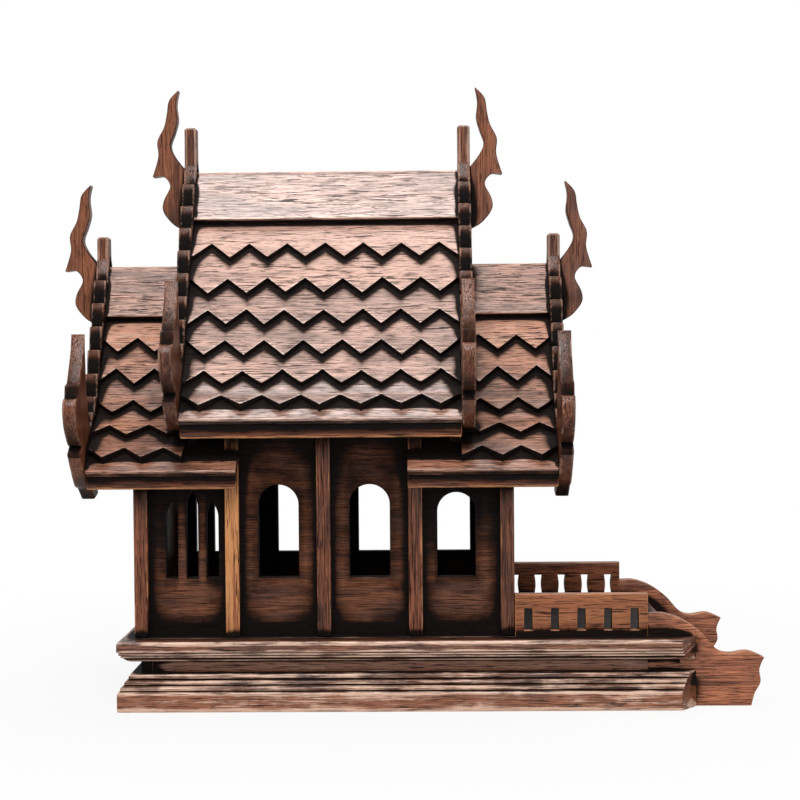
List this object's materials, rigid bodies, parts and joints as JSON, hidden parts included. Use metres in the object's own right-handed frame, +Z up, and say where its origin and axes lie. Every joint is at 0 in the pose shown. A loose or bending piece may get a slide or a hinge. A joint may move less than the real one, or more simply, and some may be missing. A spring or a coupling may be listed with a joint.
{
  "type": "spirit house",
  "caption": "Small Thai spirit house in stained wood: stepped base with stair and porch rail, hollow hall with arched windows, tiered shingled roof, toothed bargeboards and carved finials.",
  "frame": {"origin": "bottom centre of the whole object's bounding box, on the ground", "axes": "+X along the ridge towards the stair, +Y across it away from the pictured side, +Z up"},
  "size_m": [0.462, 0.245, 0.408],
  "materials": {
    "roof_wood": "dark stain worn back to pale pinkish tan, satin",
    "wall_wood": "deep reddish brown stain, near black in the corners, satin",
    "post_wood": "orange-brown stain with pale worn edges, satin",
    "trim_wood": "near-black brown stain with worn edges, satin",
    "base_wood": "red-brown stain, dark in the grooves, satin"
  },
  "bodies": {
    "root": {"floor_board": "base_wood", "front_riser": "base_wood", "back_riser": "base_wood", "rear_riser": "base_wood", "entry_riser": "base_wood", "upper_molding_front": "base_wood", "upper_molding_back": "base_wood", "upper_molding_rear": "base_wood", "lower_molding_front": "base_wood", "lower_molding_back": "base_wood", "lower_molding_rear": "base_wood", "front_string": "base_wood", "back_string": "base_wood", "stair_treads": "base_wood", "front_porch_rail": "post_wood", "back_porch_rail": "post_wood", "front_wall_rear_bay": "wall_wood", "front_wall_hall": "wall_wood", "front_wall_porch_bay": "wall_wood", "back_wall_rear_bay": "wall_wood", "back_wall_hall": "wall_wood", "back_wall_porch_bay": "wall_wood", "rear_wall": "wall_wood", "entrance_wall": "wall_wood", "front_posts": "post_wood", "back_posts": "post_wood", "main_roof_front": "roof_wood", "main_roof_back": "roof_wood", "main_ridge_cap": "roof_wood", "main_eave_beams": "post_wood", "rear_roof_front": "roof_wood", "rear_roof_back": "roof_wood", "rear_ridge_cap": "roof_wood", "rear_eave_beams": "post_wood", "porch_roof_front": "roof_wood", "porch_roof_back": "roof_wood", "porch_ridge_cap": "roof_wood", "porch_eave_beams": "post_wood", "main_rear_bargeboard": "trim_wood", "main_porch_bargeboard": "trim_wood", "rear_bargeboard": "trim_wood", "porch_bargeboard": "trim_wood", "main_rear_gable": "wall_wood", "main_porch_gable": "wall_wood", "rear_gable": "wall_wood", "porch_gable": "wall_wood", "main_rear_chofa": "trim_wood", "main_porch_chofa": "trim_wood", "rear_chofa": "trim_wood", "porch_chofa": "trim_wood", "main_rear_tail_finials": "trim_wood", "main_porch_tail_finials": "trim_wood", "rear_tail_finials": "trim_wood", "porch_tail_finials": "trim_wood"}
  },
  "joints": []
}
